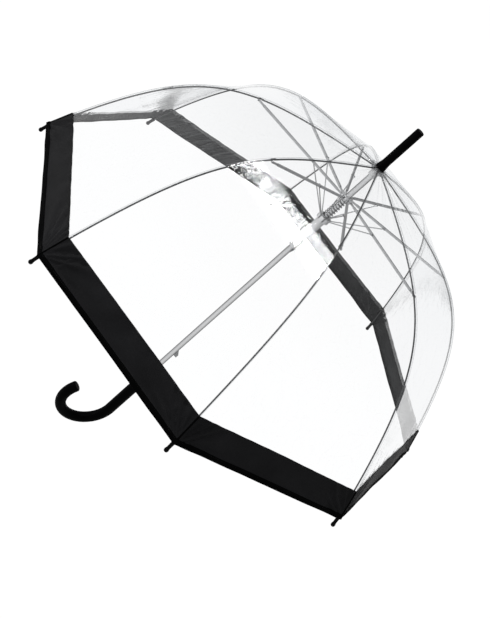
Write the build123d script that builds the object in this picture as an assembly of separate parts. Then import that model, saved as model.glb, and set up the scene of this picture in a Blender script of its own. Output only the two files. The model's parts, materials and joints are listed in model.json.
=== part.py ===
from build123d import *
import math
import os

# Clear bubble umbrella, open. Millimetres. +Z runs up the shaft to the ferrule.
# The origin is on the shaft's axis, level with the lowest point of the crook handle.

# Canopy frame: points are (radius, drop below the crown's pivots)
RIB_COUNT = 8
CROWN_PIVOT_R = 8.6
SHOULDER_IN = (247.4, 44.8)
SHOULDER_OUT = (301.8, 69.0)
BORDER_TOP = (406.6, 294.5)
BORDER_BOTTOM = (428.0, 343.9)
TIP_END = (432.9, 360.1)
KNEE_SHARE = 0.3725

# Shaft, handle and ferrule
SHAFT_D = 10.0
SHAFT_WALL = 0.7
SHAFT_TOP = 25.0
SHAFT_BOTTOM_DROP = 645.0
HANDLE_D = 20.5
HANDLE_TOP_DROP = 556.0
HANDLE_ROUND = 3.0
HOOK_DROP = 709.0
HOOK_R = 51.0
HOOK_SWEEP = 206.6
HOOK_END = 5.5
HOOK_AZIMUTH = 28.7
FERRULE_D = 14.3
FERRULE_H = 90.4
FERRULE_FOOT_D = 17.8
FERRULE_FOOT_H = 13.0
FERRULE_FOOT_Z = 3.7
FERRULE_ROUND = 1.6

# Sliding gear, as drops below the crown's pivots
HUB_DROP = 70.6
HUB_HALF_H = 3.2
RUNNER_DROP = 122.0
RUNNER_LENGTH = 80.0
RUNNER_D = 16.6
RUNNER_TOP = 3.2
RUNNER_COLLAR = 5.5
RUNNER_LIP = 4.0
RUNNER_LIP_OUT = 1.2
NOTCH_D = 24.0
GEAR_PIVOT_R = 9.0
CROWN_ABOVE = 1.3
CROWN_BELOW = 4.5
CROWN_SLEEVE_D = 15.2
CROWN_SLEEVE_END = 14.5
SPRING_WIRE = 1.5
SPRING_R = 7.0
SPRING_TURNS = 8
SPRING_GAP = 0.3

# Spring catches in the shaft
CATCH_AZIMUTH = 167.0
CATCH_LENGTH = 14.0
CATCH_W = 2.4
CATCH_DEPTH = 2.2
CATCH_STEP = 5.5
TOP_CATCH_OUT = 2.2
TOP_CATCH_DROP = RUNNER_DROP + RUNNER_LENGTH - RUNNER_COLLAR + 0.4
BOTTOM_CATCH_OUT = 6.0
BOTTOM_CATCH_DROP = 505.0
WINDOW_GAP = 0.8

# Ribs, stretchers and push rods
RIB_D = 2.5
RIB_RUNS_UPPER = 5
RIB_RUNS_LOWER = 8
KNEE_GAP = 3.2
BRACKET_T = 0.8
BRACKET_H = 2.4
BRACKET_LENGTH = 7.0
CAP_SLEEVE_R = 2.8
CAP_NECK_R = 2.6
CAP_BEAD_R = 3.3
CAP_OVERLAP = 2.0
STRETCHER_W = 3.4
STRETCHER_H = 3.4
STRETCHER_WALL = 0.5
STRETCHER_SIDE = 3.6
STRETCHER_DROP = 1.2
TONGUE = 12.0
TONGUE_H = STRETCHER_H - 0.4
TONGUE_BITE = 5.0
ROD_D = 1.8
ROD_SIDE = 0.2
ROD_JOINT_SHARE = 0.36
ROD_RELIEF_R = 8.9

# Pins, eyes and fits
FIT = 0.35
BORE_FIT = 0.3
PRESS_FIT = 0.02
PIN_D = 1.2
PIN_FIT = 0.08
PIN_BITE = 1.2
EYE_D = 3.8
EYE_T = 1.6
SMALL_EYE_D = 3.4
ROD_EYE_D = 3.6
ROD_EYE_T = 1.4
HOLE_D = PIN_D + 2 * PIN_FIT
HOLE_CUT = 4.0

# Film, border and tie
FILM = 0.3
FILM_LIFT = RIB_D / 2 + 1.35
CROWN_HOLE_R = 6.4
CROWN_WASHER_LIFT = 0.4
SEAM_GAP = 0.05
STRIP = 0.6
STRIP_GAP = 0.05
LAP = 8.0
HEM = 9.0
STRAP_LENGTH = 120.0
STRAP_OFFSET = 80.0
STRAP_PANEL = 6
STRAP_TOP = 20.0
STRAP_W = 14.0
STRAP_T = 1.0
STRAP_GAP = 0.3

# Follows from the above
STEP_DEG = 360 / RIB_COUNT
HALF = math.radians(STEP_DEG / 2)
CROWN_Z = HOOK_DROP + HOOK_R + HANDLE_D / 2
SHAFT_R = SHAFT_D / 2
BORE_R = SHAFT_R + BORE_FIT
PRESS_R = SHAFT_R + PRESS_FIT


def rib_point(t):
    """A point of the rib's centreline between the crown's pivot (0) and the border (1)."""
    ends = ((CROWN_PIVOT_R, 0.0), SHOULDER_IN, SHOULDER_OUT, BORDER_TOP)
    share = ((1 - t) ** 3, 3 * t * (1 - t) ** 2, 3 * t * t * (1 - t), t**3)
    r = sum(k * p[0] for k, p in zip(share, ends))
    drop = sum(k * p[1] for k, p in zip(share, ends))
    return (r, -drop)


def unit(a, b):
    """The direction from a to b, both (r, z)."""
    length = math.dist(a, b)
    return ((b[0] - a[0]) / length, (b[1] - a[1]) / length)


def along(a, b, distance):
    """The point at a distance from a towards b."""
    d = unit(a, b)
    return (a[0] + d[0] * distance, a[1] + d[1] * distance)


def normal(a, b):
    """The outward normal of the run from a to b."""
    d = unit(a, b)
    return (-d[1], d[0])


def lifted(p, out, distance):
    """A point moved a distance along a normal."""
    return (p[0] + out[0] * distance, p[1] + out[1] * distance)


CROWN_PIVOT = (CROWN_PIVOT_R, 0.0)
HUB_PIVOT = (GEAR_PIVOT_R, -HUB_DROP)
RUNNER_PIVOT = (GEAR_PIVOT_R, -RUNNER_DROP)
KNEE = rib_point(KNEE_SHARE)
HEM_POINT = (BORDER_BOTTOM[0], -BORDER_BOTTOM[1])
TIP_POINT = (TIP_END[0], -TIP_END[1])
STRETCHER_END = (KNEE[0], KNEE[1] - STRETCHER_DROP)
ROD_JOINT = along(HUB_PIVOT, STRETCHER_END, ROD_JOINT_SHARE * math.dist(HUB_PIVOT, STRETCHER_END))


def at_rib(solid, i):
    """Turns a solid made in the plane of rib 1 into place for rib i, and lifts it to the crown."""
    return Rot(0, 0, STEP_DEG * (i - 1)) * Pos(0, 0, CROWN_Z) * solid


def at_panel(solid, i):
    """Turns a panel made about +X into place between ribs i and i + 1."""
    return Rot(0, 0, STEP_DEG * (i - 0.5)) * Pos(0, 0, CROWN_Z) * solid


def spot(p, side=0.0):
    """An (r, z) point of rib 1's plane, moved sideways, as a 3D point."""
    return Vector(p[0], side, p[1])


def section_face(outline):
    """A face in the plane of rib 1 from a closed run of (r, z) corners."""
    return make_face(Plane.XZ * Polyline(*outline, close=True))


def wire(points, diameter, side=0.0):
    """A round wire through (r, z) points, with its corners as large tangent arcs."""
    path_points = [spot(p, side) for p in points]
    if len(points) > 2:
        radii = []
        for a, b, c in zip(points, points[1:], points[2:]):
            u = unit(a, b)
            v = unit(b, c)
            turn = math.acos(min(1.0, u[0] * v[0] + u[1] * v[1]))
            run = min(math.dist(a, b), math.dist(b, c))
            radii.append(0.45 * run / math.tan(turn / 2))
        path = FilletPolyline(*path_points, radius=radii)
    else:
        path = Line(*path_points)
    start = Plane(origin=path @ 0, z_dir=path % 0)
    return sweep(start * Circle(diameter / 2), path)


def cross_cylinder(p, diameter, length, side=0.0):
    """A pin, eye or hole: a cylinder whose axis runs sideways through an (r, z) point."""
    return Pos(p[0], side, p[1]) * Rot(90, 0, 0) * Cylinder(diameter / 2, length)


def bar(a, b, width, height, side=0.0):
    """A rectangular bar between two (r, z) points: width runs sideways."""
    mid = ((a[0] + b[0]) / 2, (a[1] + b[1]) / 2)
    tilt = math.degrees(math.atan2(b[1] - a[1], b[0] - a[0]))
    return Pos(mid[0], side, mid[1]) * Rot(0, -tilt, 0) * Box(math.dist(a, b), width, height)


def around(solid):
    """Copies of a solid at every rib."""
    return [Rot(0, 0, STEP_DEG * i) * solid for i in range(RIB_COUNT)]


def notched_ring(pivot_r, above, below, side, slot_w):
    """A slotted ring on the shaft. Its pins carry the eyes of the wires at pivot_r."""
    height = above + below
    tall = 3 * height
    slot = Pos(NOTCH_D / 2, side, 0) * Box(NOTCH_D, slot_w, tall)
    slot -= Cylinder(pivot_r - EYE_D / 2 - 0.2, tall)
    ring = Pos(0, 0, (above - below) / 2) * Cylinder(NOTCH_D / 2, height)
    ring -= around(slot)
    ring += around(cross_cylinder((pivot_r, 0), PIN_D, slot_w + PIN_BITE, side))
    return ring - Cylinder(BORE_R, tall)


# Ribs

def rib_upper():
    """The upper length of a rib: an eye at the crown and a side bracket with a pin at the knee."""
    points = [rib_point(KNEE_SHARE * k / RIB_RUNS_UPPER) for k in range(RIB_RUNS_UPPER + 1)]
    start = along(points[0], points[1], 1.5)
    end = along(KNEE, points[-2], KNEE_GAP)
    solid = wire([start, *points[1:-1], end], RIB_D)
    solid += cross_cylinder(CROWN_PIVOT, EYE_D, EYE_T)
    solid -= cross_cylinder(CROWN_PIVOT, HOLE_D, HOLE_CUT)
    bracket_side = -(EYE_T / 2 + FIT + BRACKET_T / 2)
    back = along(KNEE, points[-2], BRACKET_LENGTH)
    solid += bar(back, KNEE, BRACKET_T, BRACKET_H, bracket_side)
    solid += cross_cylinder(KNEE, SMALL_EYE_D, BRACKET_T, bracket_side)
    solid += cross_cylinder(KNEE, PIN_D, EYE_T + FIT + 0.5, -(FIT + 0.5) / 2)
    return solid


def rib_lower():
    """The lower length of a rib, from the knee's eye to its end inside the tip cap."""
    runs = RIB_RUNS_LOWER
    points = [rib_point(KNEE_SHARE + (1 - KNEE_SHARE) * k / runs) for k in range(runs + 1)]
    start = along(KNEE, points[1], 2.3)
    solid = wire([start, *points[1:], along(HEM_POINT, TIP_POINT, 3)], RIB_D)
    solid += bar(KNEE, along(KNEE, points[1], 4), EYE_T, 2.2)
    solid += cross_cylinder(KNEE, SMALL_EYE_D, EYE_T)
    return solid - cross_cylinder(KNEE, HOLE_D, HOLE_CUT)


def tip_cap():
    """The moulded cap on a rib's end: a sleeve that narrows to a neck before a round bead."""
    start = along(HEM_POINT, TIP_POINT, -CAP_OVERLAP)
    bead = along(TIP_POINT, HEM_POINT, CAP_BEAD_R)
    direction = unit(start, bead)
    length = math.dist(start, bead)
    sleeve_plane = Plane(origin=spot(start), z_dir=spot(direction))
    sleeve = sleeve_plane * Pos(0, 0, length / 2) * Cone(CAP_SLEEVE_R, CAP_NECK_R, length)
    return sleeve + Pos(bead[0], 0, bead[1]) * Sphere(CAP_BEAD_R)


# Stretchers and push rods

def stretcher():
    """A folded steel channel from the hub to the rib's knee, flattened to an eye at each end."""
    inner = along(HUB_PIVOT, STRETCHER_END, TONGUE)
    outer = along(STRETCHER_END, HUB_PIVOT, TONGUE)
    solid = bar(inner, outer, STRETCHER_W, STRETCHER_H, STRETCHER_SIDE)
    down = normal(outer, inner)
    hollow_start = lifted(along(inner, outer, -1), down, STRETCHER_WALL)
    hollow_end = lifted(along(outer, inner, -1), down, STRETCHER_WALL)
    hollow_w = STRETCHER_W - 2 * STRETCHER_WALL
    solid -= bar(hollow_start, hollow_end, hollow_w, STRETCHER_H, STRETCHER_SIDE)
    for pivot, near, far in ((HUB_PIVOT, inner, outer), (STRETCHER_END, outer, inner)):
        solid += bar(pivot, along(near, far, TONGUE_BITE), EYE_T, TONGUE_H, STRETCHER_SIDE)
        solid += cross_cylinder(pivot, EYE_D, EYE_T, STRETCHER_SIDE)
        solid -= cross_cylinder(pivot, HOLE_D, HOLE_CUT, STRETCHER_SIDE)
    return solid


def push_rod():
    """A thin wire from the runner to the stretcher, with a flat eye at each end."""
    start = along(RUNNER_PIVOT, ROD_JOINT, 1.3)
    end = along(ROD_JOINT, RUNNER_PIVOT, 1.3)
    solid = wire([start, end], ROD_D, ROD_SIDE)
    for pivot in (RUNNER_PIVOT, ROD_JOINT):
        solid += cross_cylinder(pivot, ROD_EYE_D, ROD_EYE_T, ROD_SIDE)
        solid -= cross_cylinder(pivot, HOLE_D, HOLE_CUT, ROD_SIDE)
    return solid


# Canopy: flat-across film panels between the ribs, with a woven border and a doubled hem

def squeezed(p):
    """A rib-plane point moved to the panel's middle plane."""
    return (p[0] * math.cos(HALF), p[1])


PANEL_CORNER = squeezed((BORDER_TOP[0], -BORDER_TOP[1]))
PANEL_HEM = squeezed(HEM_POINT)


def film_section():
    """The section of the film in a panel's middle plane, from the crown to the lap under the border."""
    shoulders = [(SHOULDER_IN[0], -SHOULDER_IN[1]), (SHOULDER_OUT[0], -SHOULDER_OUT[1])]
    flat = [squeezed(p) for p in (CROWN_PIVOT, *shoulders)]
    flat.append(PANEL_CORNER)
    out_start = normal(flat[0], flat[1])
    out_middle = normal(flat[1], flat[2])
    out_end = normal(flat[2], flat[3])
    outs = (out_start, out_middle, out_middle, out_end)
    inner = [lifted(p, out, FILM_LIFT) for p, out in zip(flat, outs)]
    outer = [lifted(p, out, FILM_LIFT + FILM) for p, out in zip(flat, outs)]
    out_hem = normal(PANEL_CORNER, PANEL_HEM)
    stop = along(PANEL_CORNER, PANEL_HEM, LAP)
    inner_stop = lifted(stop, out_hem, FILM_LIFT)
    outer_stop = lifted(stop, out_hem, FILM_LIFT + FILM)
    hole_r = CROWN_HOLE_R * math.cos(HALF)
    inner_start = (hole_r, inner[0][1] + CROWN_WASHER_LIFT)
    outer_start = (hole_r, outer[0][1] + CROWN_WASHER_LIFT)
    outline = [
        Line(outer_start, outer[0]),
        Bezier(*outer),
        Line(outer[3], outer_stop),
        Line(outer_stop, inner_stop),
        Line(inner_stop, inner[3]),
        Bezier(*inner[::-1]),
        Line(inner[0], inner_start),
        Line(inner_start, outer_start),
    ]
    return make_face(Plane.XZ * (Curve() + outline))


def wedge():
    """The sector between two ribs' planes, with its middle along +X."""
    reach = HOOK_DROP
    wide = reach * math.tan(HALF)
    sector = Polyline((0, 0), (reach, -wide), (reach, wide), close=True)
    solid = extrude(make_face(sector), amount=reach, both=True)
    return Pos(SEAM_GAP / 2 / math.sin(HALF), 0, 0) * solid


def panel_from(section):
    """A section of a panel's middle plane, run across between two ribs."""
    return extrude(section, amount=BORDER_BOTTOM[0], both=True) & wedge()


def canopy_panel():
    """One clear film panel, from the crown's washer to under the border."""
    return panel_from(film_section())


def border_strip():
    """One woven border strip with its folded hem along the bottom edge."""
    lift = FILM_LIFT + FILM + STRIP_GAP
    out = normal(PANEL_CORNER, PANEL_HEM)
    hem_top = along(PANEL_HEM, PANEL_CORNER, HEM)
    corners = [
        (PANEL_CORNER, 0),
        (PANEL_HEM, 0),
        (PANEL_HEM, 2),
        (hem_top, 2),
        (hem_top, 1),
        (PANEL_CORNER, 1),
    ]
    outline = [lifted(p, out, lift + STRIP * layers) for p, layers in corners]
    return panel_from(section_face(outline))


def closing_strap():
    """The short fabric tie that is sewn to the border and wraps the folded canopy."""
    lift = FILM_LIFT + FILM + STRIP_GAP + 2 * STRIP + STRAP_GAP
    out = normal(PANEL_CORNER, PANEL_HEM)
    start = along(PANEL_CORNER, PANEL_HEM, STRAP_TOP)
    end = along(PANEL_CORNER, PANEL_HEM, STRAP_TOP + STRAP_W)
    corners = ((start, 0), (end, 0), (end, STRAP_T), (start, STRAP_T))
    outline = [lifted(p, out, lift + height) for p, height in corners]
    strap = extrude(section_face(outline), amount=STRAP_LENGTH / 2, both=True)
    return at_panel(Pos(0, STRAP_OFFSET, 0) * strap, STRAP_PANEL)


# Shaft, handle and the gear on the shaft

def at_catch(solid):
    """Turns a solid made about +X to the side of the shaft where the catches are."""
    return Rot(0, 0, CATCH_AZIMUTH) * solid


def shaft():
    """The steel tube, with a window behind each spring catch."""
    length = SHAFT_TOP + SHAFT_BOTTOM_DROP
    tube = Cylinder(SHAFT_R, length) - Cylinder(SHAFT_R - SHAFT_WALL, length)
    solid = Pos(0, 0, (SHAFT_TOP - SHAFT_BOTTOM_DROP) / 2) * tube
    window = Box(SHAFT_R, CATCH_W + WINDOW_GAP, CATCH_LENGTH + 2 * WINDOW_GAP)
    for drop in (TOP_CATCH_DROP, BOTTOM_CATCH_DROP):
        solid -= at_catch(Pos(SHAFT_R, 0, -drop - CATCH_LENGTH / 2) * window)
    return Pos(0, 0, CROWN_Z) * solid


def catch(drop, out, slope_up):
    """A sprung wedge in the shaft's window. Its slope faces the ferrule if slope_up is true."""
    inside = SHAFT_R - CATCH_DEPTH
    face = SHAFT_R + out
    thin_z = 0.0 if slope_up else -CATCH_LENGTH
    flat_z = -CATCH_LENGTH if slope_up else 0.0
    step_z = flat_z + (CATCH_STEP if slope_up else -CATCH_STEP)
    low = SHAFT_R - WINDOW_GAP / 4
    outline = ((inside, thin_z), (inside, flat_z), (face, flat_z), (face, step_z), (low, thin_z))
    solid = extrude(section_face(outline), amount=CATCH_W / 2, both=True)
    return at_catch(Pos(0, 0, CROWN_Z - drop) * solid)


def ferrule():
    """The black tube on top: a foot that clamps the canopy, and a rounded end."""
    foot_cone = Cone(FERRULE_FOOT_D / 2, FERRULE_D / 2, FERRULE_FOOT_H)
    foot = Pos(0, 0, FERRULE_FOOT_Z + FERRULE_FOOT_H / 2) * foot_cone
    tube_h = FERRULE_H - FERRULE_FOOT_Z
    solid = foot + Pos(0, 0, FERRULE_FOOT_Z + tube_h / 2) * Cylinder(FERRULE_D / 2, tube_h)
    solid = fillet(solid.edges().group_by(Axis.Z)[-1], FERRULE_ROUND)
    bore_h = SHAFT_TOP + BORE_FIT - FERRULE_FOOT_Z
    solid -= Pos(0, 0, FERRULE_FOOT_Z + bore_h / 2) * Cylinder(PRESS_R, bore_h)
    return Pos(0, 0, CROWN_Z) * solid


def crown_notch():
    """The fixed ring under the canopy that carries the ribs' eyes."""
    ring = notched_ring(CROWN_PIVOT_R, CROWN_ABOVE, CROWN_BELOW, 0.0, RIB_D + 2 * FIT)
    sleeve_h = CROWN_SLEEVE_END - CROWN_BELOW
    ring += Pos(0, 0, -CROWN_BELOW - sleeve_h / 2) * Cylinder(CROWN_SLEEVE_D / 2, sleeve_h)
    return Pos(0, 0, CROWN_Z) * (ring - Cylinder(PRESS_R, 4 * CROWN_SLEEVE_END))


def hub_notch():
    """The floating ring that carries the stretchers, with a channel for each folded push rod."""
    ring = notched_ring(GEAR_PIVOT_R, HUB_HALF_H, HUB_HALF_H, STRETCHER_SIDE, EYE_T + 2 * FIT)
    channel = Box(NOTCH_D, ROD_D + 2 * FIT, 3 * HUB_HALF_H)
    ring -= around(Pos(ROD_RELIEF_R + NOTCH_D / 2, ROD_SIDE, 0) * channel)
    return Pos(0, 0, CROWN_Z - HUB_DROP) * ring


def runner():
    """The sliding sleeve: a slotted collar for the push rods on a long grip with a lip."""
    ring = notched_ring(GEAR_PIVOT_R, RUNNER_TOP, RUNNER_COLLAR, ROD_SIDE, ROD_D + 2 * FIT)
    end = RUNNER_LENGTH - RUNNER_COLLAR
    sleeve_h = end - RUNNER_COLLAR
    sleeve = Pos(0, 0, -RUNNER_COLLAR - sleeve_h / 2) * Cylinder(RUNNER_D / 2, sleeve_h)
    lip = Cylinder(RUNNER_D / 2 + RUNNER_LIP_OUT, RUNNER_LIP)
    solid = ring + sleeve + Pos(0, 0, -end + RUNNER_LIP / 2) * lip
    solid -= Cylinder(BORE_R, 4 * RUNNER_LENGTH)
    key = Box(TOP_CATCH_OUT + 0.9, CATCH_W + WINDOW_GAP, 4 * RUNNER_LENGTH)
    solid -= at_catch(Pos(SHAFT_R + TOP_CATCH_OUT / 2, 0, 0) * key)
    return Pos(0, 0, CROWN_Z - RUNNER_DROP) * solid


def runner_spring():
    """The coil between the hub and the runner."""
    top = -HUB_DROP - HUB_HALF_H - SPRING_WIRE / 2 - SPRING_GAP
    bottom = -RUNNER_DROP + RUNNER_TOP + SPRING_WIRE / 2 + SPRING_GAP
    height = top - bottom
    path = Helix(height / SPRING_TURNS, height, SPRING_R, center=(0, 0, bottom))
    start = Plane(origin=path @ 0, z_dir=path % 0)
    return Pos(0, 0, CROWN_Z) * sweep(start * Circle(SPRING_WIRE / 2), path, is_frenet=True)


def handle():
    """The crook handle: a straight grip, a bend of just over half a turn and a short end."""
    grip = Line((0, -HANDLE_TOP_DROP), (0, -HOOK_DROP))
    bend = CenterArc((HOOK_R, -HOOK_DROP), HOOK_R, 180, HOOK_SWEEP)
    heading = math.radians(HOOK_SWEEP + 270)
    tail = Line(bend @ 1, bend @ 1 + Vector(math.cos(heading), math.sin(heading)) * HOOK_END)
    path = Plane.XZ * (Curve() + [grip, bend, tail])
    solid = sweep(Pos(0, 0, -HANDLE_TOP_DROP) * Circle(HANDLE_D / 2), path)
    solid = fillet(solid.faces().filter_by(GeomType.PLANE).edges(), HANDLE_ROUND)
    bore_h = SHAFT_BOTTOM_DROP - HANDLE_TOP_DROP + BORE_FIT
    solid -= Pos(0, 0, -HANDLE_TOP_DROP - bore_h / 2) * Cylinder(PRESS_R, bore_h)
    return Rot(0, 0, HOOK_AZIMUTH) * Pos(0, 0, CROWN_Z) * solid


def save(solid, name):
    """Writes one node."""
    export_step(solid, f"parts/{name}.step")


os.makedirs("parts", exist_ok=True)
save(shaft(), "shaft")
save(ferrule(), "ferrule")
save(crown_notch(), "crown_notch")
save(hub_notch(), "hub_notch")
save(runner(), "runner")
save(runner_spring(), "runner_spring")
save(catch(TOP_CATCH_DROP, TOP_CATCH_OUT, False), "top_catch")
save(catch(BOTTOM_CATCH_DROP, BOTTOM_CATCH_OUT, True), "bottom_catch")
save(handle(), "handle")
save(closing_strap(), "closing_strap")
at_ribs = {
    "rib_upper": rib_upper(),
    "rib_lower": rib_lower() + tip_cap(),
    "stretcher": stretcher(),
    "push_rod": push_rod(),
}
at_panels = {
    "canopy_panel": canopy_panel(),
    "border_strip": border_strip(),
}
for n in range(1, RIB_COUNT + 1):
    for name, solid in at_ribs.items():
        save(at_rib(solid, n), f"{name}_{n}")
    for name, solid in at_panels.items():
        save(at_panel(solid, n), f"{name}_{n}")
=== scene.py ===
import json
import math

import bpy
from mathutils import Matrix, Vector, noise


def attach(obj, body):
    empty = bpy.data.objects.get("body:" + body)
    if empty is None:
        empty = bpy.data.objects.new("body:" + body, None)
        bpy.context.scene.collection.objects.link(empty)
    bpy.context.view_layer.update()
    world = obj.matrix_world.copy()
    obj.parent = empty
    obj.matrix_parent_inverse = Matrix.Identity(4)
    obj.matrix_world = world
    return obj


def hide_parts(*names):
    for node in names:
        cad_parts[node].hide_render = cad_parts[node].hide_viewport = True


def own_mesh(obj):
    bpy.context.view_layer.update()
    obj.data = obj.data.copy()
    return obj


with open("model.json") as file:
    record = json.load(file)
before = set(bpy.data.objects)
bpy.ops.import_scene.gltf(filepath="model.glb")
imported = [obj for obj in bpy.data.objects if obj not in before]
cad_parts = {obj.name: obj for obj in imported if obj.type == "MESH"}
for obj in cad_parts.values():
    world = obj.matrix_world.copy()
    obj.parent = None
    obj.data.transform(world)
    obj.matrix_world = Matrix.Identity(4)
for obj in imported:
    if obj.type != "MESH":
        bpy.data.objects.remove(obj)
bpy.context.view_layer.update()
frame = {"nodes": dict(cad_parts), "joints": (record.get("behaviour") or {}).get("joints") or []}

# Sizes in metres. The heights are drops below the crown's pivots, as in the CAD model.

RIBS = 8
STEP = 2 * math.pi / RIBS
HALF = STEP / 2
SHOULDER_IN = (0.2474, 0.0448)
SHOULDER_OUT = (0.3018, 0.0690)
BORDER_TOP = (0.4066, 0.2945)
BORDER_BOTTOM = (0.4280, 0.3439)
TIP_END = (0.4329, 0.3601)
FILM_LIFT = 0.00275
STRIP_LIFT = 0.00305
CROWN_HOLE_R = 0.0064
LAP = 0.008
HEM = 0.009

joints = {j["name"]: j for j in frame["joints"]}
crown_joint = joints["rib_1_crown"]["pos_m"]
PIVOT_R = math.hypot(crown_joint[0], crown_joint[1])
CROWN_Z = crown_joint[2]
knee_joint = joints["rib_1_bend"]["pos_m"]
KNEE_R = math.hypot(knee_joint[0], knee_joint[1])
KNEE_Z = knee_joint[2]


# The canopy's shape

def rib_point(t):
    """A point (r, z) of the rib's centreline, from the crown's pivot (0) to the border (1)."""
    ends = ((PIVOT_R, 0.0), SHOULDER_IN, SHOULDER_OUT, BORDER_TOP)
    share = ((1 - t) ** 3, 3 * t * (1 - t) ** 2, 3 * t * t * (1 - t), t**3)
    r = sum(k * p[0] for k, p in zip(share, ends))
    drop = sum(k * p[1] for k, p in zip(share, ends))
    return Vector((r, CROWN_Z - drop))


def dome_profile():
    """The film's line in a panel's middle plane, as (distance, point, outward normal), crown to hem."""
    line = [Vector((CROWN_HOLE_R, CROWN_Z + 0.0004))]
    line += [rib_point(k / 160) for k in range(161)]
    border_end = Vector((BORDER_BOTTOM[0], CROWN_Z - BORDER_BOTTOM[1]))
    line += [line[-1].lerp(border_end, k / 12) for k in range(1, 13)]
    flat = [Vector((p.x * math.cos(HALF), p.y)) for p in line]
    distances = [0.0]
    for a, b in zip(flat, flat[1:]):
        distances.append(distances[-1] + (b - a).length)
    normals = []
    for k in range(len(flat)):
        run = flat[min(k + 1, len(flat) - 1)] - flat[max(k - 1, 0)]
        normals.append(Vector((-run.y, run.x)).normalized())
    return list(zip(distances, flat, normals))


PROFILE = dome_profile()
PROFILE_END = PROFILE[-1][0]


def on_profile(distance):
    """The point and normal at a distance from the crown's hole. Past the end it runs straight on."""
    if distance >= PROFILE_END:
        step = PROFILE[-1][1] - PROFILE[-2][1]
        return PROFILE[-1][1] + step.normalized() * (distance - PROFILE_END), PROFILE[-1][2]
    low, high = 0, len(PROFILE) - 1
    while high - low > 1:
        middle = (low + high) // 2
        low, high = (middle, high) if PROFILE[middle][0] <= distance else (low, middle)
    a, b = PROFILE[low], PROFILE[high]
    share = (distance - a[0]) / (b[0] - a[0])
    return a[1].lerp(b[1], share), a[2].lerp(b[2], share).normalized()


def distance_at_radius(radius):
    """The distance along the profile where the rib's line has this radius."""
    target = radius * math.cos(HALF)
    for a, b in zip(PROFILE, PROFILE[1:]):
        if a[1].x <= target <= b[1].x:
            return a[0] + (b[0] - a[0]) * (target - a[1].x) / (b[1].x - a[1].x)
    raise ValueError(radius)


KNEE_AT = distance_at_radius(KNEE_R)
BORDER_AT = distance_at_radius(BORDER_TOP[0])


def smooth(x):
    """0 below 0, 1 above 1, and a smooth step between."""
    x = max(0.0, min(1.0, x))
    return x * x * (3 - 2 * x)


def ripple(panel, distance, across):
    """How far the film stands off its flat-across shape: sag, pleats at the crown, puckers at the border."""
    width = on_profile(distance)[0].x * math.tan(HALF)
    free = 1 - across**4
    low = distance / PROFILE_END
    sag = -0.0035 * smooth((low - 0.15) / 0.5) * smooth((1.02 - low) / 0.25) * (1 - across**2)
    broad = noise.noise(Vector((across * width * 9, distance * 7, panel * 7.3)))
    pleat_share = smooth((0.17 - distance) / 0.12) * smooth(distance / 0.03)
    pleats = math.sin(across * 11 + 2.1 * math.sin(panel * 2.4)) + 0.6 * math.sin(across * 19 + panel)
    near_seam = smooth((abs(across) - 0.55) / 0.4)
    fine = noise.noise(Vector((across * 6.5, distance * 55, panel * 3.1 + 20)))
    edge = smooth(1 - abs(distance - BORDER_AT) / 0.035)
    pucker = noise.noise(Vector((across * width * 60, distance * 8, panel * 5.7 + 40)))
    from_rib = (1 - abs(across)) * width
    to_hem = PROFILE_END - distance
    corner_reach = math.hypot(from_rib, to_hem)
    on_cloth = smooth((distance - BORDER_AT + 0.004) / 0.008)
    corner = on_cloth * smooth(corner_reach / 0.022) * smooth((0.125 - corner_reach) / 0.09)
    angle = math.atan2(to_hem, from_rib + 0.004)
    bend = noise.noise(Vector((angle * 2.5, corner_reach * 16, panel * 4.4 + math.copysign(9, across))))
    folds = math.sin(angle * 19 + 3.8 * bend + panel * 1.7)
    slack = noise.noise(Vector((across * width * 22, distance * 34, panel * 6.1 + 70)))
    height = sag + free * (0.0016 * broad + 0.0005 * pleat_share * pleats)
    height += free * near_seam * 0.0008 * fine
    height += free * 0.0008 * edge * pucker + 0.0012 * corner * folds * smooth(from_rib / 0.008)
    height += free * on_cloth * 0.0009 * slack
    return height


def panel_point(panel, distance, across, lift):
    """A point on panel 1..8. across runs from -1 at its first rib to 1 at the next one."""
    point, normal = on_profile(distance)
    height = lift + ripple(panel, distance, across)
    rho = point.x + normal.x * height
    z = point.y + normal.y * height
    side = across * rho * math.tan(HALF)
    turn = STEP * (panel - 0.5)
    x = rho * math.cos(turn) - side * math.sin(turn)
    y = rho * math.sin(turn) + side * math.cos(turn)
    return Vector((x, y, z))


def panel_normal(panel, distance, across, lift):
    """The outward normal of panel_point's surface."""
    down, aside = 0.0006, 0.004
    along = (panel_point(panel, distance + down, across, lift)
             - panel_point(panel, distance - down, across, lift))
    sideways = (panel_point(panel, distance, across + aside, lift)
                - panel_point(panel, distance, across - aside, lift))
    facing = along.cross(sideways)
    return facing.normalized() * -1 if facing.z < 0 else facing.normalized()


def rib_side(rib, share):
    """The panel and across value at a share from -1 to 1 of the cloth that belongs to a rib."""
    if share < 0:
        return (rib - 2) % RIBS + 1, 1 + share
    return rib, -1 + share


# Mesh helpers

def new_object(name, points, faces, material, smooth_shade=True):
    mesh = bpy.data.meshes.new(name)
    mesh.from_pydata([tuple(p) for p in points], [], faces)
    mesh.update()
    if smooth_shade:
        mesh.polygons.foreach_set("use_smooth", [True] * len(mesh.polygons))
    mesh.materials.append(material)
    piece = bpy.data.objects.new(name, mesh)
    bpy.context.scene.collection.objects.link(piece)
    return piece


def strip_faces(rows, columns, closed=False, first=0):
    """Quads of a grid stored row by row. A closed one joins its last column to its first."""
    faces = []
    last = columns if closed else columns - 1
    for r in range(rows - 1):
        for c in range(last):
            a = first + r * columns + c
            b = first + r * columns + (c + 1) % columns
            faces.append((a, b, b + columns, a + columns))
    return faces


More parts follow.
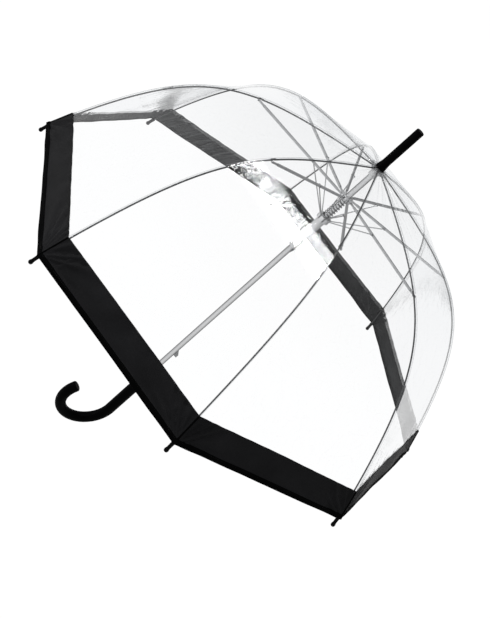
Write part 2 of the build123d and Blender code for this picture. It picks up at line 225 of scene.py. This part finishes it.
def frames_along(points):
    """Two directions square to the path at each of its points, carried along without twist."""
    tangents = []
    for k in range(len(points)):
        tangents.append((points[min(k + 1, len(points) - 1)] - points[max(k - 1, 0)]).normalized())
    side = tangents[0].orthogonal().normalized()
    frames = []
    for t in tangents:
        side = (side - t * side.dot(t)).normalized()
        frames.append((side, t.cross(side)))
    return frames


def tube(points, radius, sides=16, first=0):
    """Points and faces of a round tube with closed ends. radius is a number or one for each point."""
    radii = radius if hasattr(radius, "__len__") else [radius] * len(points)
    verts = []
    for p, r, (u, v) in zip(points, radii, frames_along(points)):
        for k in range(sides):
            a = 2 * math.pi * k / sides
            verts.append(p + u * (r * math.cos(a)) + v * (r * math.sin(a)))
    faces = strip_faces(len(points), sides, True, first)
    faces.append(tuple(first + k for k in range(sides))[::-1])
    last = first + (len(points) - 1) * sides
    faces.append(tuple(last + k for k in range(sides)))
    return verts, faces


def ride(piece, body):
    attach(piece, body)
    return piece


# Materials

def material(name):
    made = bpy.data.materials.new(name)
    made.use_nodes = True
    tree = made.node_tree
    tree.nodes.clear()
    output = tree.nodes.new("ShaderNodeOutputMaterial")
    return made, tree, output


def node(tree, kind, **inputs):
    """A new node with its inputs set by name. A value that is a socket is linked."""
    made = tree.nodes.new(kind)
    for key, value in inputs.items():
        socket = made.inputs[key.replace("_", " ")]
        if isinstance(value, bpy.types.NodeSocket):
            tree.links.new(value, socket)
        else:
            socket.default_value = value
    return made


def object_coordinates(tree, scale=(1, 1, 1)):
    place = tree.nodes.new("ShaderNodeTexCoord").outputs["Object"]
    return node(tree, "ShaderNodeMapping", Vector=place, Scale=scale).outputs["Vector"]


def spread_of(tree, factor, low, high):
    """A factor stretched to run between two values."""
    made = node(tree, "ShaderNodeMapRange", Value=factor)
    made.inputs["To Min"].default_value = low
    made.inputs["To Max"].default_value = high
    return made.outputs["Result"]


def two_tones(tree, factor, dark, light, stops=(0.3, 0.7)):
    ramp = node(tree, "ShaderNodeValToRGB", Fac=factor)
    ramp.color_ramp.elements[0].color = (*dark, 1)
    ramp.color_ramp.elements[1].color = (*light, 1)
    ramp.color_ramp.elements[0].position = stops[0]
    ramp.color_ramp.elements[1].position = stops[1]
    return ramp.outputs["Color"]


def film_material(name, tint, side_tint, haze, gloss_share=(0.04, 0.98), gloss_rough=(0.01, 0.05)):
    """Clear film: see-through, with a gloss that grows side on, faint creases and a little haze."""
    made, tree, output = material(name)
    place = object_coordinates(tree)
    cloud = node(tree, "ShaderNodeTexNoise", Vector=place, Scale=22.0, Detail=5.0, Roughness=0.55)
    fine = node(tree, "ShaderNodeTexNoise", Vector=place, Scale=420.0, Detail=3.0)
    streak = node(tree, "ShaderNodeTexNoise", Vector=place, Scale=34.0, Detail=9.0, Roughness=0.72,
                  Distortion=2.4)
    warp = node(tree, "ShaderNodeTexNoise", Vector=place, Scale=9.0, Detail=2.0)
    bent = tree.nodes.new("ShaderNodeVectorMath")
    bent.operation = "MULTIPLY_ADD"
    bent.inputs[1].default_value = (0.16, 0.16, 0.16)
    tree.links.new(warp.outputs["Color"], bent.inputs[0])
    tree.links.new(place, bent.inputs[2])
    crease = node(tree, "ShaderNodeTexVoronoi", Vector=bent.outputs[0], Scale=9.0)
    crease.feature = "DISTANCE_TO_EDGE"
    crease_line = two_tones(tree, crease.outputs["Distance"], (1, 1, 1), (0, 0, 0), (0.0, 0.012))
    split = node(tree, "ShaderNodeSeparateXYZ", Vector=place)
    azimuth = tree.nodes.new("ShaderNodeMath")
    azimuth.operation = "ARCTAN2"
    tree.links.new(split.outputs["Y"], azimuth.inputs[0])
    tree.links.new(split.outputs["X"], azimuth.inputs[1])
    around = node(tree, "ShaderNodeCombineXYZ", X=azimuth.outputs[0], Z=split.outputs["Z"])
    stretched = node(tree, "ShaderNodeMapping", Vector=around.outputs["Vector"], Scale=(26, 1, 7))
    wrinkle = node(tree, "ShaderNodeTexNoise", Vector=stretched.outputs["Vector"], Scale=1.0, Detail=3.0,
                   Roughness=0.6, Distortion=1.2)
    long_folds = node(tree, "ShaderNodeBump", Height=wrinkle.outputs["Fac"], Strength=0.24, Distance=0.0028)
    folded = node(tree, "ShaderNodeBump", Height=crease_line, Strength=0.12, Distance=0.0004,
                  Normal=long_folds.outputs["Normal"])
    wave = node(tree, "ShaderNodeBump", Height=cloud.outputs["Fac"], Strength=0.3, Distance=0.003,
                Normal=folded.outputs["Normal"])
    bump = node(tree, "ShaderNodeBump", Height=fine.outputs["Fac"], Strength=0.1, Distance=0.0004,
                Normal=wave.outputs["Normal"])
    gloss = node(tree, "ShaderNodeBsdfGlossy", Color=(0.93, 0.935, 0.94, 1), Normal=bump.outputs["Normal"],
                 Roughness=spread_of(tree, cloud.outputs["Fac"], *gloss_rough))
    dust = node(tree, "ShaderNodeBsdfDiffuse", Color=(0.6, 0.61, 0.62, 1))
    facing = node(tree, "ShaderNodeLayerWeight", Blend=0.5, Normal=bump.outputs["Normal"])
    steep = tree.nodes.new("ShaderNodeMath")
    steep.operation = "POWER"
    steep.inputs[1].default_value = 3.5
    tree.links.new(facing.outputs["Facing"], steep.inputs[0])
    clear = node(tree, "ShaderNodeBsdfTransparent",
                 Color=two_tones(tree, facing.outputs["Facing"], tint, side_tint, (0.25, 0.95)))
    marks = two_tones(tree, streak.outputs["Fac"], (0, 0, 0), (haze, haze, haze), (0.5, 0.8))
    lines = tree.nodes.new("ShaderNodeMix")
    lines.data_type = "RGBA"
    lines.blend_type = "ADD"
    tree.links.new(spread_of(tree, cloud.outputs["Fac"], 0.0, haze), lines.inputs["Factor"])
    tree.links.new(marks, lines.inputs["A"])
    tree.links.new(crease_line, lines.inputs["B"])
    hazy = node(tree, "ShaderNodeMixShader", Fac=lines.outputs["Result"])
    tree.links.new(clear.outputs[0], hazy.inputs[1])
    tree.links.new(dust.outputs[0], hazy.inputs[2])
    mixed = node(tree, "ShaderNodeMixShader", Fac=spread_of(tree, steep.outputs[0], *gloss_share))
    tree.links.new(hazy.outputs[0], mixed.inputs[1])
    tree.links.new(gloss.outputs[0], mixed.inputs[2])
    tree.links.new(mixed.outputs[0], output.inputs["Surface"])
    return made


def solid_material(name, dark, light, scale, roughness, bump_strength, bump_distance,
                   metallic=0.0, stretch=(1, 1, 1), specular=0.5, outline_shade=None):
    """A solid surface with a cloudy colour, an uneven roughness and a fine grain. Its last argument is a
    painted shade: the tone its colour is multiplied by side on, which darkens it towards the outline.
    """
    made, tree, output = material(name)
    place = object_coordinates(tree, stretch)
    cloud = node(tree, "ShaderNodeTexNoise", Vector=place, Scale=scale, Detail=6.0, Roughness=0.6)
    grain = node(tree, "ShaderNodeTexNoise", Vector=place, Scale=scale * 9, Detail=4.0)
    bump = node(tree, "ShaderNodeBump", Height=grain.outputs["Fac"], Strength=bump_strength,
                Distance=bump_distance)
    shader = node(tree, "ShaderNodeBsdfPrincipled", Normal=bump.outputs["Normal"],
                  Roughness=spread_of(tree, cloud.outputs["Fac"], roughness[0], roughness[1]))
    tone = two_tones(tree, cloud.outputs["Fac"], dark, light)
    # Painted shade: the colour is multiplied down towards the outline, where the surface turns side on.
    if outline_shade:
        edge = node(tree, "ShaderNodeLayerWeight", Blend=0.5)
        outline_shade_tone = two_tones(tree, edge.outputs["Facing"], (1, 1, 1), outline_shade, (0.08, 0.6))
        shade = tree.nodes.new("ShaderNodeMix")
        shade.data_type = "RGBA"
        shade.blend_type = "MULTIPLY"
        shade.inputs["Factor"].default_value = 1.0
        tree.links.new(tone, shade.inputs["A"])
        tree.links.new(outline_shade_tone, shade.inputs["B"])
        tone = shade.outputs["Result"]
    tree.links.new(tone, shader.inputs["Base Color"])
    shader.inputs["Metallic"].default_value = metallic
    shader.inputs["Specular IOR Level"].default_value = specular
    tree.links.new(shader.outputs[0], output.inputs["Surface"])
    return made


def weave_material(name, dark, light, roughness, sheen, specular):
    """Tight black plain weave: crossed threads half a millimetre apart over a slow change of tone."""
    made, tree, output = material(name)
    place = object_coordinates(tree)
    cloud = node(tree, "ShaderNodeTexNoise", Vector=place, Scale=14.0, Detail=5.0, Roughness=0.6)
    height = None
    for direction in ("X", "Y", "Z"):
        threads = node(tree, "ShaderNodeTexWave", Vector=place, Scale=640.0, Distortion=0.6, Detail=1.0)
        threads.bands_direction = direction
        if height is None:
            height = threads.outputs["Fac"]
        else:
            total = node(tree, "ShaderNodeMath")
            total.operation = "ADD"
            tree.links.new(height, total.inputs[0])
            tree.links.new(threads.outputs["Fac"], total.inputs[1])
            height = total.outputs[0]
    slub = node(tree, "ShaderNodeTexNoise", Vector=place, Scale=900.0, Detail=2.0)
    coarse = node(tree, "ShaderNodeBump", Height=slub.outputs["Fac"], Strength=0.25, Distance=0.0002)
    bump = node(tree, "ShaderNodeBump", Height=height, Strength=0.35, Distance=0.00015,
                Normal=coarse.outputs["Normal"])
    shader = node(tree, "ShaderNodeBsdfPrincipled", Normal=bump.outputs["Normal"],
                  Roughness=spread_of(tree, cloud.outputs["Fac"], roughness[0], roughness[1]))
    tree.links.new(two_tones(tree, cloud.outputs["Fac"], dark, light), shader.inputs["Base Color"])
    shader.inputs["Sheen Weight"].default_value = sheen
    shader.inputs["Sheen Roughness"].default_value = 0.4
    shader.inputs["Specular IOR Level"].default_value = specular
    tree.links.new(shader.outputs[0], output.inputs["Surface"])
    return made


FILM = film_material("clear_film", (0.968, 0.97, 0.973), (0.93, 0.935, 0.94), 0.035)
SEAM = film_material("film_seam", (0.86, 0.865, 0.87), (0.6, 0.605, 0.61), 0.1, (0.02, 0.7), (0.2, 0.35))
CLOTH = weave_material("border_cloth", (0.004, 0.004, 0.0043), (0.007, 0.007, 0.0076), (0.42, 0.56),
                       sheen=0.004, specular=0.025)
# Painted shade: the hem and the mitre seams get a darker copy of the border cloth, standing in for the shade
# in their folds.
SHADED_HEM_CLOTH = weave_material("shaded_hem_cloth", (0.0003, 0.0003, 0.0003), (0.0008, 0.0008, 0.0009), (0.6, 0.75),
                           sheen=0.0, specular=0.01)
THREAD = solid_material("black_thread", (0.002, 0.002, 0.002), (0.004, 0.004, 0.004), 300.0,
                        (0.45, 0.6), 0.3, 0.0001, specular=0.1)
BLACK = solid_material("black_plastic", (0.0003, 0.0003, 0.0004), (0.0009, 0.0009, 0.001), 60.0,
                       (0.42, 0.55), 0.12, 0.00015, specular=0.012)
CAP_BLACK = solid_material("cap_plastic", (0.0006, 0.0006, 0.0007), (0.0015, 0.0015, 0.0016), 90.0,
                           (0.35, 0.48), 0.1, 0.0001, specular=0.03)
# The last tone of each steel and grey plastic material below is a painted shade along its outline.
RIB_STEEL = solid_material("rib_steel", (0.03, 0.031, 0.032), (0.07, 0.071, 0.073), 240.0,
                           (0.28, 0.42), 0.15, 0.00005, metallic=0.85, outline_shade=(0.3, 0.3, 0.3))
CHANNEL = solid_material("stretcher_steel", (0.34, 0.344, 0.35), (0.46, 0.464, 0.47), 160.0,
                         (0.26, 0.44), 0.2, 0.00008, metallic=0.85, outline_shade=(0.4, 0.4, 0.4))
SPRING = solid_material("spring_wire", (0.16, 0.163, 0.168), (0.28, 0.284, 0.29), 200.0,
                        (0.2, 0.34), 0.1, 0.00005, metallic=0.9, outline_shade=(0.15, 0.15, 0.15))
SHAFT = solid_material("shaft_steel", (0.6, 0.603, 0.608), (0.72, 0.723, 0.728), 30.0, (0.2, 0.32), 0.08,
                       0.00005, metallic=0.9, stretch=(1, 1, 0.08), outline_shade=(0.03, 0.03, 0.03))
GREY = solid_material("grey_plastic", (0.46, 0.463, 0.468), (0.55, 0.553, 0.56), 50.0,
                      (0.3, 0.42), 0.12, 0.0001, outline_shade=(0.55, 0.55, 0.55))


# Carried-over CAD nodes

def finish_node(name, look):
    """Gives a CAD node its material, and keeps its own shape."""
    for slot_at in frame["nodes"][name].material_slots:
        slot_at.material = look


for name, look in (("shaft", SHAFT), ("ferrule", BLACK), ("handle", BLACK), ("crown_notch", GREY),
                   ("hub_notch", GREY), ("runner", GREY), ("top_catch", SPRING), ("bottom_catch", SPRING)):
    finish_node(name, look)
for rib in range(1, RIBS + 1):
    finish_node(f"rib_upper_{rib}", RIB_STEEL)
    finish_node(f"rib_lower_{rib}", RIB_STEEL)
    finish_node(f"stretcher_{rib}", CHANNEL)
    finish_node(f"push_rod_{rib}", CHANNEL)


# Canopy cloth: one piece of film above each knee, one below it and one border piece for each rib


def fold_with(piece):
    """Gives a piece its own copy of its mesh data."""
    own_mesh(piece)


def rows_between(start, end, step):
    count = max(2, round((end - start) / step))
    return [start + (end - start) * k / count for k in range(count + 1)]


def normal_on_side(rib, share, side, distance, lift):
    """The cloth's normal at a share, from the panel on one side (-1 or 1) of the rib."""
    share = min(share, -1e-6) if side < 0 else max(share, 0.0)
    panel, across = rib_side(rib, share)
    return panel_normal(panel, distance, across, lift)


def gore_grid(rib, distances, columns, lift):
    """Points of a rib's cloth, row by row, and each corner's normal on either side of the rib."""
    shares = [-1 + 2 * k / columns for k in range(columns + 1)]
    points, normals = [], []
    for distance in distances:
        for share in shares:
            panel, across = rib_side(rib, share)
            points.append(panel_point(panel, distance, across, lift))
            normals.append({side: normal_on_side(rib, share, side, distance, lift) for side in (-1, 1)})
    return points, normals


def set_corner_normals(piece, normals, columns):
    """Uses the surface's own normals, so that neighbouring pieces shade as one sheet."""
    mesh = piece.data
    corner = []
    for polygon in mesh.polygons:
        column = min(v % (columns + 1) for v in polygon.vertices)
        side = -1 if column < columns / 2 else 1
        corner += [tuple(normals[v][side]) for v in polygon.vertices]
    mesh.normals_split_custom_set(corner)


def film_piece(rib, start, end, upper):
    columns = 44 if upper else 64
    distances = rows_between(start, end, 0.0055)
    points, normals = gore_grid(rib, distances, columns, FILM_LIFT)
    faces = strip_faces(len(distances), columns + 1)
    name = f"film_{'upper' if upper else 'lower'}_{rib}"
    piece = new_object(name, points, [f[::-1] for f in faces], FILM)
    set_corner_normals(piece, normals, columns)
    body = f"rib_upper_{rib}" if upper else f"rib_lower_{rib}"
    ride(piece, body)
    fold_with(piece)
    return piece


UPPER_START = distance_at_radius(0.0168)
SEAM_GAP = 0.0015
SEAM_HALF_WIDTH = 0.0018
for rib in range(1, RIBS + 1):
    film_piece(rib, UPPER_START, KNEE_AT, True)
    film_piece(rib, KNEE_AT, BORDER_AT + LAP, False)


def seam_piece(rib, start, end, upper):
    """The narrow doubled band where two panels are joined over a rib."""
    distances = rows_between(start, end, 0.004)
    offsets = (-1, -0.96, -0.5, -0.12, 0, 0.12, 0.5, 0.96, 1)
    heights = (0.15, 0.42, 0.46, 0.5, 0.54, 0.5, 0.46, 0.42, 0.15)
    points = []
    for distance in distances:
        width = on_profile(distance)[0].x * math.tan(HALF)
        for offset, height in zip(offsets, heights):
            share = max(-0.98, min(0.98, offset * SEAM_HALF_WIDTH / width))
            panel, across = rib_side(rib, share)
            points.append(panel_point(panel, distance, across, FILM_LIFT + 0.001 * height))
    faces = strip_faces(len(distances), len(offsets))
    name = f"film_seam_{'upper' if upper else 'lower'}_{rib}"
    piece = new_object(name, points, [f[::-1] for f in faces], SEAM)
    ride(piece, f"rib_upper_{rib}" if upper else f"rib_lower_{rib}")
    fold_with(piece)
    return piece


for rib in range(1, RIBS + 1):
    seam_piece(rib, UPPER_START, KNEE_AT - SEAM_GAP, True)
    seam_piece(rib, KNEE_AT + SEAM_GAP, BORDER_AT + LAP, False)


# Crown washer: a doubled disc of film under the ferrule's foot that holds the panels' inner ends

def washer_piece():
    section = ((0.0004, 0.0006), (0.0004, 0.0011), (0.0104, 0.0012), (0.0112, 0.0010), (0.0114, 0.0007),
               (0.0112, 0.0004), (0.0060, 0.0004))
    points = []
    turns = RIBS * 12
    for k in range(turns):
        panel, part = divmod(k, 12)
        for distance, height in section:
            points.append(panel_point(panel + 1, distance, -1 + part / 6, FILM_LIFT + height))
    count = len(section)
    faces = strip_faces(turns, count, True)
    last = (turns - 1) * count
    faces += [(last + c, last + (c + 1) % count, (c + 1) % count, c) for c in range(count)]
    washer = new_object("crown_washer", points, faces, SEAM)
    return ride(washer, "root")


washer_piece()


# Border: one mitred piece of cloth for each rib, from mid-panel to mid-panel, with a rolled hem

def border_section():
    """The closed outline of the border cloth as (distance down the dome, height over the film's line)."""
    end = PROFILE_END
    hem = end - HEM
    rows = [(BORDER_AT, 0.0002), (BORDER_AT + 0.0002, 0.0006), (BORDER_AT + 0.0012, 0.0008)]
    rows += [(BORDER_AT + 0.003 + (hem - BORDER_AT - 0.0045) * k / 18, 0.0006) for k in range(19)]
    hem_start = len(rows)
    rows += [(hem - 0.0002, 0.0007), (hem + 0.0004, 0.0014), (hem + 0.0030, 0.0017), (end - 0.0030, 0.0017),
             (end - 0.0010, 0.0014), (end - 0.0001, 0.0007), (end - 0.0008, -0.0002), (end - 0.0045, -0.0004),
             (hem, -0.0003)]
    hem_end = len(rows)
    rows += [(hem - 0.001, 0.0), (BORDER_AT + 0.026, 0.0), (BORDER_AT + 0.012, 0.0)]
    return rows, hem_start, hem_end


def border_piece(rib):
    section, hem_start, hem_end = border_section()
    columns = 168
    count = len(section)
    points = []
    for k in range(columns + 1):
        panel, across = rib_side(rib, -1 + 2 * k / columns)
        for distance, height in section:
            points.append(panel_point(panel, distance, across, STRIP_LIFT + height))
    faces = strip_faces(columns + 1, count, True)
    faces.append(tuple(range(count))[::-1])
    faces.append(tuple(columns * count + k for k in range(count)))
    piece = new_object(f"border_cloth_{rib}", points, faces, CLOTH)
    # The hem's faces take the darker copy of the cloth, a painted shade in the fold.
    piece.data.materials.append(SHADED_HEM_CLOTH)
    for index, polygon in enumerate(piece.data.polygons):
        if hem_start <= index % count < hem_end and index < columns * count:
            polygon.material_index = 1
    sharp = {tuple(sorted(e)) for p in piece.data.polygons[-2:] for e in p.edge_keys}
    for edge in piece.data.edges:
        if tuple(sorted(edge.vertices)) in sharp:
            edge.use_edge_sharp = True
    return piece


def mitre_piece(rib):
    """The welted seam that joins the border's two halves along a rib."""
    distances = rows_between(BORDER_AT + 0.0016, PROFILE_END - 0.0014, 0.002)
    offsets = (-0.0016, -0.0013, -0.0006, 0.0, 0.0006, 0.0013, 0.0016)
    heights = (0.0004, 0.0010, 0.0014, 0.0016, 0.0014, 0.0010, 0.0004)
    points = []
    for distance in distances:
        width = on_profile(distance)[0].x * math.tan(HALF)
        on_hem = 0.0011 * smooth((distance - (PROFILE_END - HEM) + 0.001) / 0.002)
        for offset, height in zip(offsets, heights):
            panel, across = rib_side(rib, offset / width)
            points.append(panel_point(panel, distance, across, STRIP_LIFT + height + on_hem))
    faces = strip_faces(len(distances), len(offsets))
    # The welt is drawn in the darker copy of the cloth, a painted shade.
    return new_object(f"border_mitre_{rib}", points, [f[::-1] for f in faces], SHADED_HEM_CLOTH)


THREAD_HALF_WIDTH = 0.00018
THREAD_HEIGHT = 0.00028


def stitch_row(rib, distance, height, pitch, length, slant=0.0):
    """Points and faces of a row of short stitches across a rib's border cloth."""
    verts, faces = [], []
    width = on_profile(distance)[0].x * math.tan(HALF)
    count = int(2 * width / pitch)
    for k in range(count):
        middle = -1 + 2 * (k + 0.5) / count
        half_length = length / 2 / width
        tilt = slant if k % 2 else -slant
        corners = []
        for share, down in ((middle - half_length, -tilt), (middle + half_length, tilt)):
            panel, across = rib_side(rib, share)
            for side in (-THREAD_HALF_WIDTH, THREAD_HALF_WIDTH):
                corners.append(panel_point(panel, distance + down + side, across, STRIP_LIFT + height))
        panel, across = rib_side(rib, middle)
        corners.append(panel_point(panel, distance, across, STRIP_LIFT + height + THREAD_HEIGHT))
        first = len(verts)
        verts += corners
        faces += [(first + a, first + b, first + 4) for a, b in ((0, 1), (1, 3), (3, 2), (2, 0))]
        faces.append((first, first + 2, first + 3, first + 1))
    return verts, faces


def join_parts(parts):
    verts, faces = [], []
    for part_verts, part_faces in parts:
        first = len(verts)
        verts += part_verts
        faces += [tuple(first + v for v in f) for f in part_faces]
    return verts, faces


for rib in range(1, RIBS + 1):
    border = border_piece(rib)
    rows = [
        stitch_row(rib, BORDER_AT + 0.0030, 0.0006, 0.0026, 0.0030, 0.0011),
        stitch_row(rib, PROFILE_END - HEM + 0.0018, 0.0014, 0.0030, 0.0022),
    ]
    stitches = new_object(f"border_stitching_{rib}", *join_parts(rows), THREAD, False)
    for piece in (border, stitches, mitre_piece(rib)):
        ride(piece, f"rib_lower_{rib}")
        fold_with(piece)
    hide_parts(f"border_strip_{rib}")
for rib in range(1, RIBS + 1):
    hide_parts(f"canopy_panel_{rib}")


# Tip caps: a moulded sleeve over each rib's end, with a collar and a round bead

def rib_place(rib, r, drop):
    turn = STEP * (rib - 1)
    return Vector((r * math.cos(turn), r * math.sin(turn), CROWN_Z - drop))


for rib in range(1, RIBS + 1):
    hem_corner = rib_place(rib, *BORDER_BOTTOM)
    tip = rib_place(rib, *TIP_END)
    direction = (tip - hem_corner).normalized()
    outline = ((-0.0031, 0.0020), (-0.0030, 0.0029), (-0.0026, 0.0032), (0.0, 0.0033), (0.0010, 0.0032),
               (0.0014, 0.0030), (0.0060, 0.0029), (0.0098, 0.0029), (0.0108, 0.0030), (0.0118, 0.0033),
               (0.0130, 0.0036), (0.0142, 0.0036), (0.0155, 0.0034), (0.0166, 0.0027), (0.0173, 0.0016),
               (0.0175, 0.0004))
    path = [hem_corner + direction * (k + 0.0001) for k, _ in outline]
    cap = new_object(f"tip_cap_{rib}", *tube(path, [r for _, r in outline], 24), CAP_BLACK)
    ride(cap, f"rib_lower_{rib}")


# Rivets: one through each stretcher where its push rod joins, and one at its outer end

STRETCHER_SIDE = 0.0036
hub_joint = joints["stretcher_1_hub"]["pos_m"]
hub_pivot = Vector((hub_joint[0], hub_joint[2]))
stretcher_end = Vector((KNEE_R, KNEE_Z - 0.0012))
rod_joint = hub_pivot.lerp(stretcher_end, 0.36)


def rivet(name, rib, at, near, far):
    """A pin with two domed heads, running sideways from near to far at an (r, z) point of a rib's plane."""
    turn = STEP * (rib - 1)
    outward = Vector((math.cos(turn), math.sin(turn), 0))
    sideways = Vector((-math.sin(turn), math.cos(turn), 0))
    middle = outward * at.x + Vector((0, 0, at.y))
    outline = ((near - 0.0007, 0.0002), (near - 0.0006, 0.0008), (near - 0.0003, 0.0012), (near, 0.0013),
               (near + 0.0001, 0.0006), (far - 0.0001, 0.0006), (far, 0.0013), (far + 0.0003, 0.0012),
               (far + 0.0006, 0.0008), (far + 0.0007, 0.0002))
    path = [middle + sideways * k for k, _ in outline]
    pin = new_object(name, *tube(path, [r for _, r in outline], 16), SPRING)
    ride(pin, f"stretcher_{rib}")


for rib in range(1, RIBS + 1):
    rivet(f"rod_rivet_{rib}", rib, rod_joint, -0.0010, STRETCHER_SIDE + 0.0021)
    rivet(f"end_rivet_{rib}", rib, stretcher_end, 0.0016, STRETCHER_SIDE + 0.0010)


# Runner spring: an open coil whose last turns lie flat against the hub and the runner

SPRING_R = 0.0070
SPRING_TOP = hub_pivot.y - 0.0032 - 0.0010
SPRING_LENGTH = 0.0432
SPRING_TURNS = 10


def spring_path():
    path = []
    steps = SPRING_TURNS * 40
    for k in range(steps + 1):
        share = k / steps
        inner = min(max((share - 0.09) / 0.82, 0.0), 1.0)
        down = 0.02 * share + 0.98 * inner
        turn = 2 * math.pi * SPRING_TURNS * share
        height = SPRING_TOP - SPRING_LENGTH * down
        path.append(Vector((SPRING_R * math.cos(turn), SPRING_R * math.sin(turn), height)))
    return path


spring = new_object("coil_spring", *tube(spring_path(), 0.00075, 10), SPRING)
ride(spring, "hub")
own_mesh(spring)
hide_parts("runner_spring")


# Closing strap: a stitched tab of the border's cloth with a press stud, sewn to the border beside rib 7

STRAP_PANEL = 6
STRAP_START = 0.020
STRAP_END = 0.140
STRAP_TOP_AT = BORDER_AT + 0.020
STRAP_WIDTH = 0.014
STRAP_LIFT = STRIP_LIFT + 0.0011


def strap_point(reach, down, height):
    """A point of the strap: reach from the panel's middle, distance down it and height over the border."""
    distance = STRAP_TOP_AT + down
    width = on_profile(distance)[0].x * math.tan(HALF)
    return panel_point(STRAP_PANEL, distance, reach / width, STRAP_LIFT + height)


def strap_piece():
    steps = 60
    points = []
    section = ((0.0, 0.0), (0.0, 0.0004), (0.0006, 0.0008), (0.0018, 0.0009), (0.0024, 0.0007),
               (0.0070, 0.0007), (0.0116, 0.0007), (0.0122, 0.0009), (0.0134, 0.0008), (0.0140, 0.0004),
               (0.0140, 0.0), (0.0070, 0.0))
    for k in range(steps + 1):
        reach = STRAP_END + (STRAP_START - STRAP_END) * k / steps
        from_end = reach - STRAP_START
        half = STRAP_WIDTH / 2
        narrow = math.sqrt(max(0.02, 1 - max(0.0, 1 - from_end / half) ** 2))
        for down, height in section:
            points.append(strap_point(reach, half + (down - half) * narrow, height))
    faces = strip_faces(steps + 1, len(section), True)
    faces.append(tuple(range(len(section)))[::-1])
    faces.append(tuple(steps * len(section) + k for k in range(len(section))))
    return new_object("strap_tab", points, faces, CLOTH)


def stud_piece():
    """A press stud's cap: a low dome with a rolled lip."""
    centre = strap_point(STRAP_START + 0.010, STRAP_WIDTH / 2, 0.0007)
    normal = panel_normal(STRAP_PANEL, STRAP_TOP_AT + STRAP_WIDTH / 2, 0.2, STRAP_LIFT)
    outline = ((0.0, 0.0046), (0.0006, 0.0052), (0.0012, 0.0051), (0.0014, 0.0044), (0.0015, 0.0036),
               (0.0019, 0.0026), (0.0021, 0.0014), (0.0022, 0.0002))
    path = [centre + normal * k for k, _ in outline]
    return new_object("strap_stud", *tube(path, [r for _, r in outline], 32), SPRING)


strap, stud = strap_piece(), stud_piece()
for piece, slot in ((strap, "border_fabric"), (stud, "spring_steel")):
    ride(piece, "rib_lower_7")
    fold_with(piece)
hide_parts("closing_strap")


# Stage, light and camera. The window panes hang overhead, each as (centre, width) across and along the row

PANE_COLUMNS = ((0.375, 0.22), (0.67, 0.23))
PANE_ROWS = ((0.01, 0.24), (0.32, 0.22), (0.65, 0.26))
PANE_HEIGHT = 3.06
PANE_POWER = 150


def stage_floor():
    made, tree, output = material("studio_floor")
    shader = node(tree, "ShaderNodeBsdfDiffuse", Color=(0.03, 0.03, 0.03, 1))
    glow = node(tree, "ShaderNodeEmission", Color=(1, 1, 1, 1), Strength=1.0)
    both = tree.nodes.new("ShaderNodeAddShader")
    tree.links.new(shader.outputs[0], both.inputs[0])
    tree.links.new(glow.outputs[0], both.inputs[1])
    tree.links.new(both.outputs[0], output.inputs["Surface"])
    size = 60.0
    low = -0.004
    corners = [(-size, -size, low), (size, -size, low), (size, size, low), (-size, size, low)]
    floor = new_object("studio_floor", corners, [(0, 1, 2, 3)], made, False)


def area_light(name, place, target, size, power, size_y=None):
    data = bpy.data.lights.new(name, "AREA")
    data.shape = "RECTANGLE"
    data.size = size
    data.size_y = size_y or size
    data.energy = power
    light = bpy.data.objects.new(name, data)
    light.location = place
    light.rotation_euler = (Vector(target) - Vector(place)).to_track_quat("-Z", "Y").to_euler()
    bpy.context.scene.collection.objects.link(light)


CAMERA_AIM = Vector((-0.0266, 0.0065, CROWN_Z - 0.3452))
CAMERA_DISTANCE = 1.7564
CAMERA_AZIMUTH = math.radians(76.29)
CAMERA_ELEVATION = math.radians(28.34)
CAMERA_ROLL = math.radians(48.85)

flat_back = Vector((math.cos(CAMERA_AZIMUTH), math.sin(CAMERA_AZIMUTH), 0))
camera_back = flat_back * math.cos(CAMERA_ELEVATION) + Vector((0, 0, math.sin(CAMERA_ELEVATION)))
level_right = Vector((-flat_back.y, flat_back.x, 0))
camera_right = level_right * math.cos(CAMERA_ROLL) + camera_back.cross(level_right) * math.sin(CAMERA_ROLL)
camera_up = camera_back.cross(camera_right)
camera_place = CAMERA_AIM + camera_back * CAMERA_DISTANCE
camera_data = bpy.data.cameras.new("camera")
camera_data.lens = 58.69
camera_data.sensor_width = 36.0
camera_data.sensor_fit = "AUTO"
camera_data.clip_end = 200.0
camera = bpy.data.objects.new("camera", camera_data)
turned = Matrix((camera_right, camera_up, camera_back)).transposed().to_4x4()
camera.matrix_world = Matrix.Translation(camera_place) @ turned
bpy.context.scene.collection.objects.link(camera)
bpy.context.scene.camera = camera

world = bpy.data.worlds.new("studio")
world.use_nodes = True
sky = world.node_tree
height = node(sky, "ShaderNodeSeparateXYZ", Vector=sky.nodes.new("ShaderNodeTexCoord").outputs["Generated"])
glow = node(sky, "ShaderNodeMapRange", Value=height.outputs["Z"])
glow.inputs["From Min"].default_value = 0.22
glow.inputs["From Max"].default_value = 0.6
glow.inputs["To Min"].default_value = 1.0
glow.inputs["To Max"].default_value = 0.56
backdrop = sky.nodes["Background"]
backdrop.inputs["Color"].default_value = (0.97, 0.98, 0.99, 1)
sky.links.new(glow.outputs["Result"], backdrop.inputs["Strength"])
bpy.context.scene.world = world
bpy.context.scene.view_settings.view_transform = "Standard"

stage_floor()
for column, (x, wide) in enumerate(PANE_COLUMNS):
    for row, (y, deep) in enumerate(PANE_ROWS):
        power = PANE_POWER * wide * deep
        area_light(f"window_{column}_{row}", (x, y, PANE_HEIGHT), (x, y, 0), wide, power, deep)
area_light("left", (2.4, 0.6, 1.6), (0, 0, 0.55), 0.9, 60, 1.8)
